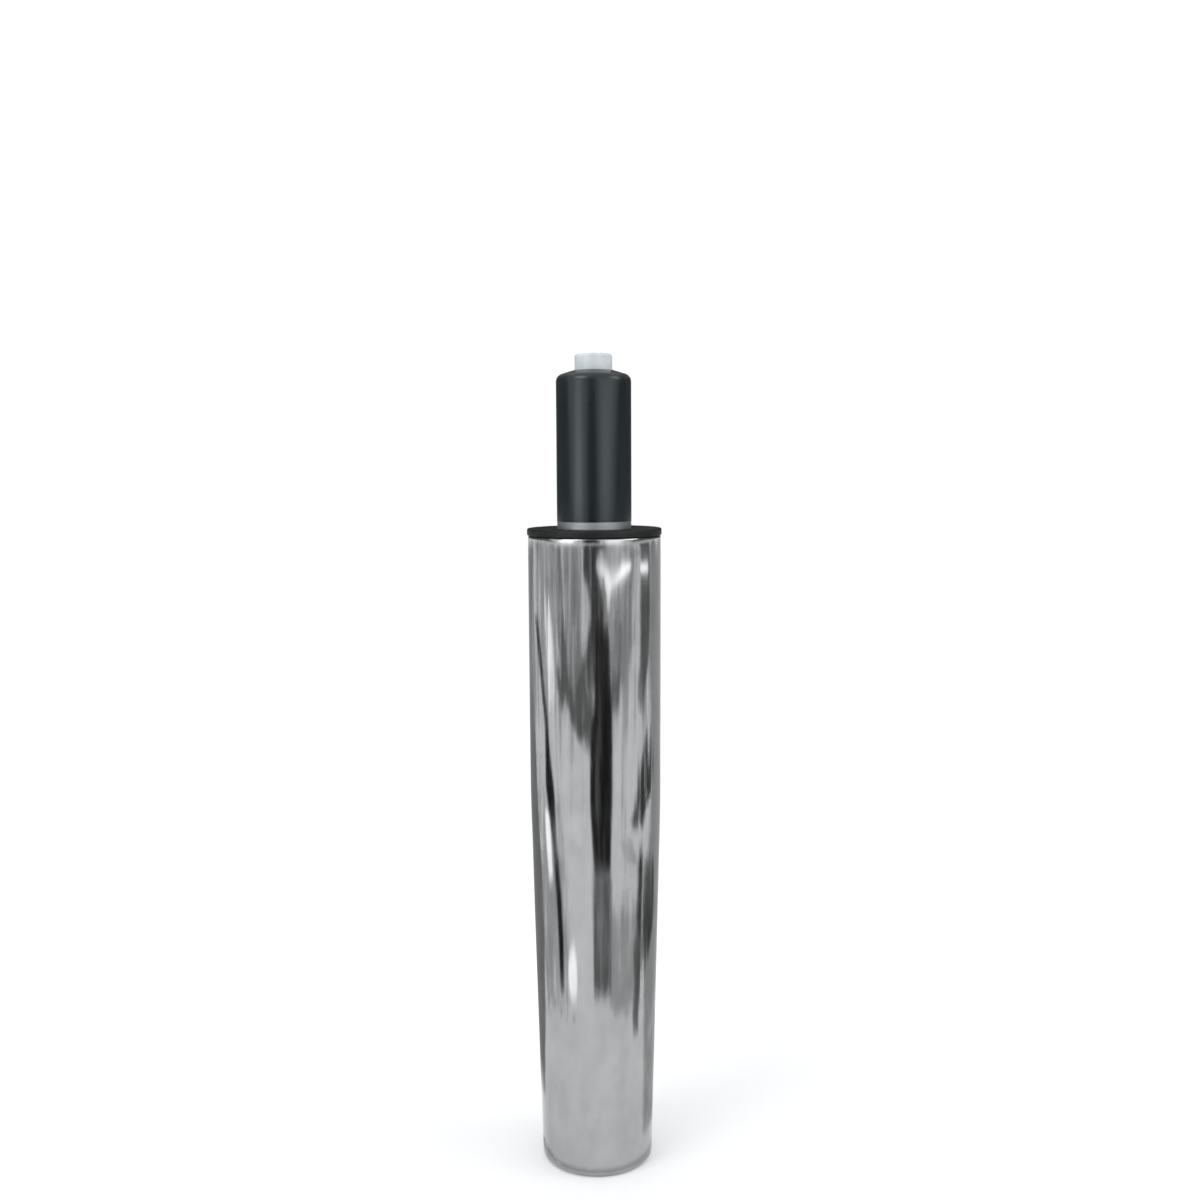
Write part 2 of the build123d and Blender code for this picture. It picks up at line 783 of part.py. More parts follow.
with BuildPart() as valve_seat_seal:
    add(
        washer(
            pin_waist_radius + press_gap,
            valve_head_diameter / 2,
            valve_head_top,
            seat_seal_thickness,
        )
    )
valve_seat_seal.part.label = "valve_seat_seal"
export_step(valve_seat_seal.part, "parts/valve_seat_seal.step")
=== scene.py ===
import json
import math

import bmesh
import bpy
from mathutils import Matrix, Vector

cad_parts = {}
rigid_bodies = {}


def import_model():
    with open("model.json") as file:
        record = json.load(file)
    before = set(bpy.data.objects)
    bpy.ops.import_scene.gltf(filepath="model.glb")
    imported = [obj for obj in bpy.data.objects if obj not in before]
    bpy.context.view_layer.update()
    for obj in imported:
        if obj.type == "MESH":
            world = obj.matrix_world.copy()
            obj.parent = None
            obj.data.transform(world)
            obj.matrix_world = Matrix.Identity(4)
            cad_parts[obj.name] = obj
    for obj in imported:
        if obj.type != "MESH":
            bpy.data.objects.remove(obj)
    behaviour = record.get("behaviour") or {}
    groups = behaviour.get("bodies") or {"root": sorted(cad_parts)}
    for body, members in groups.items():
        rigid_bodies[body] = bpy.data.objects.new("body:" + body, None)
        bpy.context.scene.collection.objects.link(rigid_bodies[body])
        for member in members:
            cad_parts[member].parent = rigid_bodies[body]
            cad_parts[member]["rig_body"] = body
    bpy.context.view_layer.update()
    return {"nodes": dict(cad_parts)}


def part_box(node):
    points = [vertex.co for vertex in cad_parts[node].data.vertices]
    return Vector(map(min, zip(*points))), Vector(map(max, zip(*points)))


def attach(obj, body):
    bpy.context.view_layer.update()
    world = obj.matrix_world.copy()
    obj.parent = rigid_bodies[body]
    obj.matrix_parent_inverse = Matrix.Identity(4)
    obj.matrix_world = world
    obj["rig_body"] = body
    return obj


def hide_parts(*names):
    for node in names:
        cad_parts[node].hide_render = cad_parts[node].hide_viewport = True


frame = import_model()

# Gas lift cylinder of a swivel chair. Outlines are (radius, height) in millimetres, as the maker draws them,
# and every mesh is made in metres in the frame's own place.
MM = 0.001
SIDES = 192  # flats round a turned piece
ARC_STEP = math.radians(9)  # turn between two points of a rounded corner
SMOOTH_ANGLE = math.radians(28)  # edges that turn more than this stay crisp


def low(node):
    """Lowest height of a node, in millimetres."""
    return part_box(node)[0].z / MM


def high(node):
    """Highest point of a node, in millimetres."""
    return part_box(node)[1].z / MM


def reach(node):
    """Outer radius of a round node, in millimetres."""
    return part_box(node)[1].x / MM


# Sizes that the boxes of the nodes don't give, in millimetres
COLUMN_WALL = 1.8
COLUMN_STEP = 3.0  # longest run between two rings of the column's mesh
HOLLOW_DEPTH = 0.03
HOLLOW_WIDTH = 22.0
HOLLOW_LENGTH = 55.0
CONE_HEIGHT = 136.0
CONE_BLEND = 12.0
CONE_HALF_ANGLE = math.radians(1 + 26 / 60 + 16 / 3600)
FOOT_ROUND = 2.2
FOOT_LIP = 3.4
MOUTH_ROUND = 1.0
EDGE_BREAK = 0.25  # small round left on an edge by deburring or by the mould
FLANGE_ROUND = 0.5
BUSH_SLEEVE_WALL = 2.2
BUSH_COLLAR = 8.0
BORE_LEAD = 0.6
FLANGE_HEIGHT = 2.5
FIN_COUNT = 8
FIN_WIDTH = 1.8
FIN_LEAD = 1.2
SPINDLE_WALL = 1.5
SPINDLE_STEP = 6.0
SPINDLE_SHOULDER = 3.0
SPINDLE_FOOT_ROUND = 1.0
SPINDLE_FOOT_LIP = 2.5
CROWN = 2.2
CROWN_ANGLE = math.radians(17)
PAINT_EDGE = 2.6  # bare steel that shows between the bush and the paint when the lift is down
PAINT_FILM = 0.06
RIM_PAINT = 0.5  # least rise of a face's normal for paint to run over the rim of the button's hole
BUTTON_SIDE = 5.7
BUTTON_SHANK = 7.0
BUTTON_EDGE = 1.0
BUTTON_DOME_STEPS = 6
BUTTON_SOCKET = 2.05
BUTTON_SOCKET_DEPTH = 3.4
BUTTON_FLANGE_HEIGHT = 3.4
PLATE_RECESS = 8.0
PLATE_THICKNESS = 2.5
PLATE_BEND = 1.6
ROD_NECK = 4.0
ROD_TIP_ROUND = 0.8
CLIP_GROOVE = 1.0
CLIP_PLAY = 0.1
RIVET_HEIGHT = 1.1
RIVET_REACH = 1.2
BALL_COUNT = 10
BALL_CIRCLE = 18.0
BALL_MERIDIANS = 32
BALL_RINGS = 18
RUNNING_GAP = 0.10
PRESS_GAP = 0.05


# Shapes
def rounded(corners):
    """Points of an outline given by its corners, each (radius, height) or (radius, height, round)."""
    outline = []
    for index, (x, z, *bend) in enumerate(corners):
        corner = Vector((x, z))
        if not bend:
            outline.append(corner)
            continue
        back = (Vector(corners[index - 1][:2]) - corner).normalized()
        ahead = (Vector(corners[(index + 1) % len(corners)][:2]) - corner).normalized()
        half = back.angle(ahead) / 2
        centre = corner + (back + ahead).normalized() * bend[0] / math.sin(half)
        run = bend[0] / math.tan(half)
        first = (corner + back * run - centre).normalized()
        last = (corner + ahead * run - centre).normalized()
        steps = max(2, math.ceil((math.pi - 2 * half) / ARC_STEP))
        outline += [centre + first.slerp(last, step / steps) * bend[0] for step in range(steps + 1)]
    return outline


def divided(outline, longest):
    """The same closed outline with its straight runs cut into steps no longer than that."""
    points = []
    for start, end in zip(outline, outline[1:] + outline[:1]):
        steps = max(1, math.ceil((end - start).length / longest))
        points += [start.lerp(end, step / steps) for step in range(steps)]
    return points


def turned(name, outline, closed=True, sides=SIDES):
    """Mesh turned round Z from an outline that runs anticlockwise, so up its outer side."""
    solid = bmesh.new()
    rings = []
    for side in range(sides):
        angle = math.tau * side / sides
        across = Vector((math.cos(angle), math.sin(angle), 0))
        rings.append([solid.verts.new((across * x + Vector((0, 0, z))) * MM) for x, z in outline])
    for left, right in zip(rings, rings[1:] + rings[:1]):
        for step in range(len(outline) if closed else len(outline) - 1):
            after = (step + 1) % len(outline)
            solid.faces.new((left[step], right[step], right[after], left[after]))
    bmesh.ops.remove_doubles(solid, verts=solid.verts, dist=PRESS_GAP * MM / 10)
    return made_mesh(name, solid)


def made_mesh(name, solid):
    """Mesh with smooth faces and crisp edges, taken from a bmesh that isn't used again."""
    mesh = bpy.data.meshes.new(name)
    solid.to_mesh(mesh)
    solid.free()
    mesh.shade_smooth()
    mesh.set_sharp_from_angle(angle=SMOOTH_ANGLE)
    return mesh


def placed(name, content):
    """Object in the scene, at the frame's origin, that holds a mesh, a light or a camera."""
    item = bpy.data.objects.new(name, content)
    bpy.context.scene.collection.objects.link(item)
    return item


def slab(name, profile, width):
    """Flat plate that many millimetres thick along Y, with an anticlockwise profile of X and Z."""
    solid = bmesh.new()
    near = [solid.verts.new(Vector((x, -width / 2, z)) * MM) for x, z in profile]
    far = [solid.verts.new(Vector((x, width / 2, z)) * MM) for x, z in profile]
    solid.faces.new(near)
    solid.faces.new(far[::-1])
    for step in range(len(profile)):
        solid.faces.new((near[step - 1], far[step - 1], far[step], near[step]))
    bmesh.ops.recalc_face_normals(solid, faces=solid.faces)
    return made_mesh(name, solid)


def joined(piece, other):
    """One piece with the meshes of both. The other one is removed."""
    solid = bmesh.new()
    solid.from_mesh(piece.data)
    solid.from_mesh(other.data)
    name = piece.data.name
    piece.data = made_mesh(name, solid)
    bpy.data.objects.remove(other)
    return piece


# Nodes
def add_node(tree, kind, inputs=None, **settings):
    """Adds a node, sets it up, and fills its inputs with values or with other nodes' outputs."""
    node = tree.nodes.new(kind)
    for name, value in settings.items():
        setattr(node, name, value)
    for name, value in (inputs or {}).items():
        if isinstance(value, bpy.types.NodeSocket):
            tree.links.new(value, node.inputs[name])
        else:
            node.inputs[name].default_value = value
    return node


def geometry_tree(name, inputs):
    """Empty geometry tree with a Geometry input and output, and inputs given as {name: kind}."""
    tree = bpy.data.node_groups.new(name, "GeometryNodeTree")
    tree.interface.new_socket("Geometry", in_out="OUTPUT", socket_type="NodeSocketGeometry")
    tree.interface.new_socket("Geometry", in_out="INPUT", socket_type="NodeSocketGeometry")
    for label, kind in inputs.items():
        tree.interface.new_socket(label, in_out="INPUT", socket_type="NodeSocket" + kind)
    return tree, add_node(tree, "NodeGroupInput")


def close_tree(tree, geometry, finish):
    """Ends a geometry tree: copies made real, and the finish set."""
    real = add_node(tree, "GeometryNodeRealizeInstances", {"Geometry": geometry})
    coated = add_node(tree, "GeometryNodeSetMaterial", {"Geometry": real.outputs[0], "Material": finish})
    add_node(tree, "NodeGroupOutput", {"Geometry": coated.outputs[0]})
    return tree


def copies_round_axis():
    """Tree that turns copies of a piece evenly round Z."""
    tree, given = geometry_tree("copies round axis", {"Count": "Int", "Finish": "Material"})
    centres = add_node(
        tree, "GeometryNodeMeshLine", {"Count": given.outputs["Count"], "Offset": (0, 0, 0)}
    )
    share = add_node(
        tree, "ShaderNodeMath", {0: math.tau, 1: given.outputs["Count"]}, operation="DIVIDE"
    )
    number = add_node(tree, "GeometryNodeInputIndex")
    turn = add_node(
        tree, "ShaderNodeMath", {0: number.outputs[0], 1: share.outputs[0]}, operation="MULTIPLY"
    )
    rotation = add_node(tree, "ShaderNodeCombineXYZ", {"Z": turn.outputs[0]})
    copies = add_node(
        tree,
        "GeometryNodeInstanceOnPoints",
        {
            "Points": centres.outputs[0],
            "Instance": given.outputs["Geometry"],
            "Rotation": rotation.outputs[0],
        },
    )
    return close_tree(tree, copies.outputs[0], given.outputs["Finish"])


def drawn_wall():
    """Tree that gives a drawn tube the faint hollows that drawing and polishing leave along it."""
    sizes = {"Depth": "Float", "Around": "Float", "Along": "Float", "Finish": "Material"}
    tree, given = geometry_tree("drawn wall", sizes)
    spot = add_node(tree, "GeometryNodeInputPosition")
    spacing = add_node(
        tree,
        "ShaderNodeCombineXYZ",
        {"X": given.outputs["Around"], "Y": given.outputs["Around"], "Z": given.outputs["Along"]},
    )
    scaled = add_node(
        tree, "ShaderNodeVectorMath", {0: spot.outputs[0], 1: spacing.outputs[0]}, operation="DIVIDE"
    )
    wave = add_node(
        tree, "ShaderNodeTexNoise", {"Vector": scaled.outputs[0], "Scale": 1.0, "Detail": 1.0}
    )
    hollow = add_node(
        tree, "ShaderNodeMath", {0: wave.outputs["Fac"], 1: given.outputs["Depth"]}, operation="MULTIPLY"
    )
    facing = add_node(tree, "GeometryNodeInputNormal")
    inwards = add_node(
        tree,
        "ShaderNodeVectorMath",
        {0: facing.outputs[0], "Scale": hollow.outputs[0]},
        operation="SCALE",
    )
    offset = add_node(
        tree, "ShaderNodeVectorMath", {0: inwards.outputs[0], 1: (-1, -1, -1)}, operation="MULTIPLY"
    )
    moved = add_node(
        tree,
        "GeometryNodeSetPosition",
        {"Geometry": given.outputs["Geometry"], "Offset": offset.outputs[0]},
    )
    return close_tree(tree, moved.outputs[0], given.outputs["Finish"])


def grown(piece, tree, values):
    """Gives a piece the mesh that a geometry tree makes of it, with the tree's inputs set by name."""
    modifier = piece.modifiers.new(tree.name, "NODES")
    modifier.node_group = tree
    for item in tree.interface.items_tree:
        if item.in_out == "INPUT" and item.name in values:
            modifier[item.identifier] = values[item.name]
    bpy.context.view_layer.update()
    evaluated = piece.evaluated_get(bpy.context.evaluated_depsgraph_get())
    mesh = bpy.data.meshes.new_from_object(evaluated)
    piece.modifiers.clear()
    piece.data = mesh
    return piece


# Colours and patterns of the finishes
MIX_LOW, MIX_HIGH, MIX_COLOUR = 6, 7, 2  # sockets of a Mix node that blends two colours
PATTERN_LOW, PATTERN_HIGH = 0.3, 0.7  # the range that a random pattern mostly keeps to
RING_DEPTH = 0.01  # of a tool ring, as a share of its pitch


def srgb(code):
    """Linear colour of an sRGB hex code."""
    levels = [int(code[place : place + 2], 16) / 255 for place in (1, 3, 5)]
    return [level / 12.92 if level <= 0.04045 else ((level + 0.055) / 1.055) ** 2.4 for level in levels] + [1]


def new_finish(name, metallic=0.0, **uniform):
    """Material, its tree and its shader, with the values that are the same all over the surface."""
    material = bpy.data.materials.new(name)
    material.use_nodes = True
    tree = material.node_tree
    tree.nodes.clear()
    values = {"Metallic": metallic}
    values.update({label.replace("_", " "): value for label, value in uniform.items()})
    shader = add_node(tree, "ShaderNodeBsdfPrincipled", values)
    add_node(tree, "ShaderNodeOutputMaterial", {"Surface": shader.outputs[0]})
    return material, tree, shader


def mottle(tree, size, stretch=(1, 1, 1), detail=2.0):
    """Soft random pattern over a piece, 0 to 1, whose patches are that many millimetres across.

    A stretch under 1 draws the patches out along X, Y or Z.
    """
    place = add_node(tree, "ShaderNodeTexCoord").outputs["Object"]
    drawn = add_node(tree, "ShaderNodeMapping", {"Vector": place, "Scale": stretch})
    settings = {"Vector": drawn.outputs[0], "Scale": 1 / (size * MM), "Detail": detail}
    return add_node(tree, "ShaderNodeTexNoise", settings).outputs["Fac"]


def tool_rings(tree, pitch):
    """Rings, 0 to 1 and that many millimetres apart, as a lathe leaves them on faces and round sides."""
    place = add_node(tree, "ShaderNodeTexCoord").outputs["Object"]
    flat = add_node(tree, "ShaderNodeVectorMath", {0: place, 1: (1, 1, 0)}, operation="MULTIPLY")
    out = add_node(tree, "ShaderNodeVectorMath", {0: flat.outputs[0]}, operation="LENGTH")
    parts = add_node(tree, "ShaderNodeSeparateXYZ", {"Vector": place})
    across = {"X": out.outputs["Value"], "Y": parts.outputs["Z"]}
    spot = add_node(tree, "ShaderNodeCombineXYZ", across)
    settings = {"Vector": spot.outputs[0], "Scale": 1 / (pitch * MM), "Detail": 2.0}
    return add_node(tree, "ShaderNodeTexNoise", settings).outputs["Fac"]


def coat(tree, shader, tones, colours, shine, roughness, grain=None, depth=0.0):
    """Gives a shader its colour, roughness and relief, each after a pattern.

    The colour lies between two sRGB codes, after the tones. The roughness lies between two numbers, after the
    shine. The grain, where there is one, stands that many millimetres proud.
    """
    middle = {"From Min": PATTERN_LOW, "From Max": PATTERN_HIGH}
    share = add_node(tree, "ShaderNodeMapRange", {"Value": tones, **middle})
    ends = {MIX_LOW: srgb(colours[0]), MIX_HIGH: srgb(colours[1])}
    colour = add_node(tree, "ShaderNodeMix", {"Factor": share.outputs[0], **ends}, data_type="RGBA")
    tree.links.new(colour.outputs[MIX_COLOUR], shader.inputs["Base Color"])
    ends = {"To Min": roughness[0], "To Max": roughness[1]}
    dull = add_node(tree, "ShaderNodeMapRange", {"Value": shine, **middle, **ends})
    tree.links.new(dull.outputs[0], shader.inputs["Roughness"])
    if grain is not None:
        relief = add_node(tree, "ShaderNodeBump", {"Height": grain, "Distance": depth * MM})
        tree.links.new(relief.outputs[0], shader.inputs["Normal"])


# Finishes
def bright_chrome():
    """Bright chrome plate on a polished tube: a mirror with faint clouds and fine polishing rings."""
    material, tree, shader = new_finish("bright_chrome_plate", metallic=1.0)
    haze = mottle(tree, 7, stretch=(1, 1, 0.5), detail=4)
    coat(tree, shader, haze, ("#A1A2A3", "#AFB0B1"), haze, (0.07, 0.13), tool_rings(tree, 0.6), 0.0004)
    return material


def black_acetal():
    """Moulded black acetal: an even, dull black with the fine grain of a spark-eroded mould."""
    material, tree, shader = new_finish("moulded_black_acetal", IOR=1.48, Specular_IOR_Level=0.35)
    patches = mottle(tree, 9)
    coat(tree, shader, patches, ("#0B0C0D", "#121314"), patches, (0.46, 0.56), mottle(tree, 0.35), 0.006)
    return material


def black_enamel():
    """Baked black enamel on a drawn tube: cool near-black, satin, with the fine peel of sprayed paint."""
    material, tree, shader = new_finish("baked_black_enamel", Specular_Tint=srgb("#E9F3F8"))
    clouds = mottle(tree, 14, stretch=(1, 1, 0.3))
    coat(tree, shader, clouds, ("#14191B", "#1A2022"), clouds, (0.2, 0.26), mottle(tree, 0.9), 0.002)
    return material


def pale_acetal():
    """Moulded off-white acetal: faintly blue, slightly translucent, with a soft shine."""
    material, tree, shader = new_finish(
        "moulded_pale_acetal",
        IOR=1.48,
        Subsurface_Weight=0.2,
        Subsurface_Radius=(1.0, 1.0, 1.0),
        Subsurface_Scale=1.2 * MM,
    )
    patches = mottle(tree, 5)
    coat(tree, shader, patches, ("#BEC5C8", "#CAD0D3"), patches, (0.26, 0.36), mottle(tree, 0.4), 0.004)
    return material


def zinc_plate():
    """Clear zinc plate on pressed steel: bluish grey, with soft clouds from the bath and fine scuffs."""
    material, tree, shader = new_finish("clear_zinc_plate", metallic=1.0)
    clouds = mottle(tree, 6, detail=4)
    coat(tree, shader, clouds, ("#A9ACAF", "#C3C5C4"), clouds, (0.3, 0.46), mottle(tree, 0.5), 0.004)
    return material


def turned_metal(name, colours, pitch, roughness):
    """Metal cut or ground on a lathe, with rings one pitch apart, in millimetres."""
    material, tree, shader = new_finish(name, metallic=1.0)
    rings = tool_rings(tree, pitch)
    coat(tree, shader, mottle(tree, 7), colours, rings, roughness, rings, pitch * RING_DEPTH)
    return material


def bearing_steel():
    """Hardened and ground steel: bright, with grinding rings too fine to show, drawn 0.25 mm apart."""
    return turned_metal("ground_bearing_steel", ("#A9ABAF", "#B7B9BC"), 0.25, (0.14, 0.24))


def rod_steel():
    """Ground and hard plated rod: bright and slightly blue, its grinding rings drawn 0.3 mm apart."""
    return turned_metal("hard_plated_rod", ("#B4B6BA", "#C0C2C5"), 0.3, (0.12, 0.2))


def tube_steel():
    """Honed steel tube: grey, with a cross-hatch that reads as a dull shine, drawn as rings 0.4 mm apart."""
    return turned_metal("honed_steel_tube", ("#A2A4A8", "#AFB1B4"), 0.4, (0.2, 0.32))


def spindle_steel():
    """Ground spindle tube: pale satin steel, its grinding rings drawn 0.35 mm apart."""
    return turned_metal("ground_spindle_steel", ("#A4A7AA", "#AFB2B4"), 0.35, (0.48, 0.6))


def turned_aluminium():
    """Turned aluminium: pale and silky, with tool marks 0.2 mm apart."""
    return turned_metal("turned_aluminium", ("#C9CBCC", "#D6D7D8"), 0.2, (0.22, 0.36))


def blackened_steel():
    """Blackened spring steel: oiled blue-black with a low shine."""
    material, tree, shader = new_finish("blackened_spring_steel", metallic=1.0)
    clouds = mottle(tree, 2)
    coat(tree, shader, clouds, ("#2A2B2F", "#3A3B40"), clouds, (0.3, 0.42), clouds, 0.004)
    return material


def cage_brass():
    """Brass coloured pressed cage: warm, a little dull from the press."""
    material, tree, shader = new_finish("pressed_brass_cage", metallic=1.0)
    clouds = mottle(tree, 3)
    coat(tree, shader, clouds, ("#B29A62", "#C4AD74"), clouds, (0.26, 0.4))
    return material


def black_rubber(name, colours):
    """Moulded black rubber: matt, with a fine dusty bloom."""
    material, tree, shader = new_finish(name, IOR=1.52)
    bloom = mottle(tree, 3, detail=4)
    coat(tree, shader, bloom, colours, bloom, (0.62, 0.8), mottle(tree, 0.3), 0.01)
    return material


def natural_plastic(name, colours):
    """Uncoloured moulded plastic: milky, waxy and slightly translucent."""
    material, tree, shader = new_finish(name, IOR=1.5, Subsurface_Weight=0.3, Subsurface_Scale=1.5 * MM)
    patches = mottle(tree, 4)
    coat(tree, shader, patches, colours, patches, (0.35, 0.48))
    return material


finishes = {
    "column_chrome": bright_chrome(),
    "bush_plastic": black_acetal(),
    "plate_steel": zinc_plate(),
    "bearing_steel": bearing_steel(),
    "cage_steel": cage_brass(),
    "rod_steel": rod_steel(),
    "clip_steel": blackened_steel(),
    "buffer_rubber": black_rubber("moulded_buffer_rubber", ("#161616", "#1F1F1E")),
    "seal_rubber": black_rubber("nitrile_seal_rubber", ("#141416", "#1B1B1E")),
    "spindle_black": black_enamel(),
    "inner_tube_steel": tube_steel(),
    "valve_aluminium": turned_aluminium(),
    "guide_plastic": natural_plastic("natural_acetal", ("#D9D6CC", "#E4E1D8")),
    "sleeve_plastic": natural_plastic("natural_nylon", ("#DDD9CB", "#E8E4D8")),
    "button_plastic": pale_acetal(),
}
finishes["washer_steel"] = finishes["plate_steel"]
finishes["piston_aluminium"] = finishes["valve_aluminium"]

for node in frame["nodes"].values():
    for holder in node.material_slots:
        node["finish_slot"] = holder.material.name
        holder.material = finishes[holder.material.name]


def stands_for(piece, node):
    """Puts a finished piece in a node's place, on its body and with its finish."""
    slot = frame["nodes"][node]["finish_slot"]
    piece.data.materials.clear()
    piece.data.materials.append(finishes[slot])
    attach(piece, frame["nodes"][node]["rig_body"])
    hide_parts(node)


# Pieces
def chromed_column():
    """Column tube: rolled foot, self-holding cone, straight barrel and rounded mouth."""
    radius = reach("column_tube")
    top = high("column_tube")
    bore = radius - COLUMN_WALL
    slope = math.tan(CONE_HALF_ANGLE)
    bend = CONE_BLEND / math.sin(CONE_HALF_ANGLE)
    bend_height = CONE_HEIGHT + bend * math.tan(CONE_HALF_ANGLE / 2)
    foot = radius - bend_height * slope
    outline = rounded(
        [
            (foot - FOOT_LIP, 0, EDGE_BREAK),
            (foot, 0, FOOT_ROUND),
            (radius, bend_height, bend),
            (radius, top, MOUTH_ROUND),
            (bore, top, EDGE_BREAK),
            (bore, bend_height, bend),
            (foot + COLUMN_WALL * slope - COLUMN_WALL, COLUMN_WALL, EDGE_BREAK),
            (foot - FOOT_LIP, COLUMN_WALL, EDGE_BREAK),
        ]
    )
    column = placed("chromed_column", turned("chromed_column", divided(outline, COLUMN_STEP)))
    hollows = {
        "Depth": HOLLOW_DEPTH * MM,
        "Around": HOLLOW_WIDTH * MM,
        "Along": HOLLOW_LENGTH * MM,
        "Finish": finishes["column_chrome"],
    }
    stands_for(grown(column, drawn_wall(), hollows), "column_tube")


def finned_bush():
    """Guide bush: sleeve, collar and flat flange, and the fins round the sleeve."""
    bottom = low("guide_bush")
    mouth = high("column_tube")
    bore = reach("spindle_tube") + RUNNING_GAP
    sleeve = bore + BUSH_SLEEVE_WALL
    collar = reach("column_tube") - COLUMN_WALL - PRESS_GAP
    flange = reach("guide_bush")
    top = mouth + FLANGE_HEIGHT
    outline = rounded(
        [
            (bore, bottom + BORE_LEAD),
            (bore + BORE_LEAD, bottom),
            (sleeve, bottom, EDGE_BREAK),
            (sleeve, mouth - BUSH_COLLAR),
            (collar, mouth - BUSH_COLLAR, EDGE_BREAK),
            (collar, mouth),
            (flange, mouth, EDGE_BREAK),
            (flange, top, FLANGE_ROUND),
            (bore + BORE_LEAD, top),
            (bore, top - BORE_LEAD),
        ]
    )
    fin_profile = [
        (sleeve - PRESS_GAP, bottom),
        (collar - FIN_LEAD, bottom),
        (collar, bottom + FIN_LEAD),
        (collar, mouth - BUSH_COLLAR),
        (sleeve - PRESS_GAP, mouth - BUSH_COLLAR),
    ]
    fin = placed("bush_fin", slab("bush_fin", fin_profile, FIN_WIDTH))
    grown(fin, copies_round_axis(), {"Count": FIN_COUNT, "Finish": finishes["bush_plastic"]})
    bush = placed("finned_bush", turned("finned_bush", outline))
    stands_for(joined(bush, fin), "guide_bush")


def enamelled_spindle():
    """Spindle tube: rolled foot, straight barrel, rounded shoulder and sloping crown with the button's hole.

    The paint ends just above the guide bush. Below it and inside, the tube is ground steel.
    """
    radius = reach("spindle_tube")
    bottom, top = low("spindle_tube"), high("spindle_tube")
    bare = radius - PAINT_FILM
    bore = radius - SPINDLE_WALL
    hole = BUTTON_SHANK + RUNNING_GAP
    slope = math.tan(CROWN_ANGLE)
    paint_edge = high("guide_bush") + PAINT_EDGE
    outline = rounded(
        [
            (bore - SPINDLE_FOOT_LIP, bottom),
            (bare, bottom, SPINDLE_FOOT_ROUND),
            (bare, paint_edge),
            (radius, paint_edge + PAINT_FILM),
            (radius, top - slope * (radius - hole), SPINDLE_SHOULDER),
            (hole, top, EDGE_BREAK),
            (hole, top - CROWN),
            (bore, top - CROWN - slope * (bore - hole)),
            (bore, bottom + SPINDLE_WALL),
            (bore - SPINDLE_FOOT_LIP, bottom + SPINDLE_WALL),
        ]
    )
    spindle = placed("enamelled_spindle", turned("enamelled_spindle", divided(outline, SPINDLE_STEP)))
    stands_for(spindle, "spindle_tube")
    spindle.data.materials.append(spindle_steel())
    for face in spindle.data.polygons:
        outwards = face.normal.dot(face.center * Vector((1, 1, 0))) > 0 or face.normal.z > RIM_PAINT
        painted = outwards and face.center.z > paint_edge * MM
        face.material_index = 0 if painted else 1


def pale_button():
    """Push button: nearly flat top, side, shank through the crown, and the flange that holds it in."""
    bottom, top = low("push_button"), high("push_button")
    side_top = high("spindle_tube") + BUTTON_SIDE
    rise = top - side_top
    dome = (BUTTON_SHANK**2 + rise**2) / (2 * rise)
    half = math.asin(BUTTON_SHANK / dome)
    turns = [half * step / BUTTON_DOME_STEPS for step in range(BUTTON_DOME_STEPS - 1, -1, -1)]
    crown = [(dome * math.sin(turn), top - dome * (1 - math.cos(turn))) for turn in turns]
    outline = rounded(
        [
            (0, bottom + BUTTON_SOCKET_DEPTH),
            (BUTTON_SOCKET, bottom + BUTTON_SOCKET_DEPTH),
            (BUTTON_SOCKET, bottom, EDGE_BREAK),
            (reach("push_button"), bottom, EDGE_BREAK),
            (reach("push_button"), bottom + BUTTON_FLANGE_HEIGHT, EDGE_BREAK),
            (BUTTON_SHANK, bottom + BUTTON_FLANGE_HEIGHT),
            (BUTTON_SHANK, side_top, BUTTON_EDGE),
            *crown,
        ]
    )
    stands_for(placed("pale_button", turned("pale_button", outline)), "push_button")


def pressed_base_plate():
    """Base plate: pressed cup with a drawn skirt and rounded bends."""
    top = PLATE_RECESS + PLATE_THICKNESS
    hole = ROD_NECK + RUNNING_GAP
    slope = math.tan(CONE_HALF_ANGLE)
    skirt = reach("base_plate")
    inner = skirt - slope * PLATE_THICKNESS - PLATE_THICKNESS
    outline = rounded(
        [
            (hole, PLATE_RECESS, EDGE_BREAK),
            (inner, PLATE_RECESS, PLATE_BEND),
            (inner, COLUMN_WALL, EDGE_BREAK),
            (skirt - slope * (top - COLUMN_WALL), COLUMN_WALL, EDGE_BREAK),
            (skirt, top, PLATE_BEND),
            (hole, top, EDGE_BREAK),
        ]
    )
    stands_for(placed("pressed_base_plate", turned("pressed_base_plate", outline)), "base_plate")


def stamped_washer():
    """Retaining washer with the small round that stamping leaves."""
    outline = rounded(
        [
            (ROD_NECK + RUNNING_GAP, low("retaining_washer"), EDGE_BREAK),
            (reach("retaining_washer"), low("retaining_washer"), EDGE_BREAK),
            (reach("retaining_washer"), high("retaining_washer"), EDGE_BREAK),
            (ROD_NECK + RUNNING_GAP, high("retaining_washer"), EDGE_BREAK),
        ]
    )
    stands_for(placed("stamped_washer", turned("stamped_washer", outline)), "retaining_washer")


def shank_radius():
    """Radius of the rod between its shoulder and the piston, in millimetres."""
    shoulder, piston = high("bearing_upper_race"), low("piston")
    points = [vertex.co / MM for vertex in frame["nodes"]["piston_rod"].data.vertices]
    return max(point.x for point in points if shoulder - PRESS_GAP < point.z < piston + PRESS_GAP)


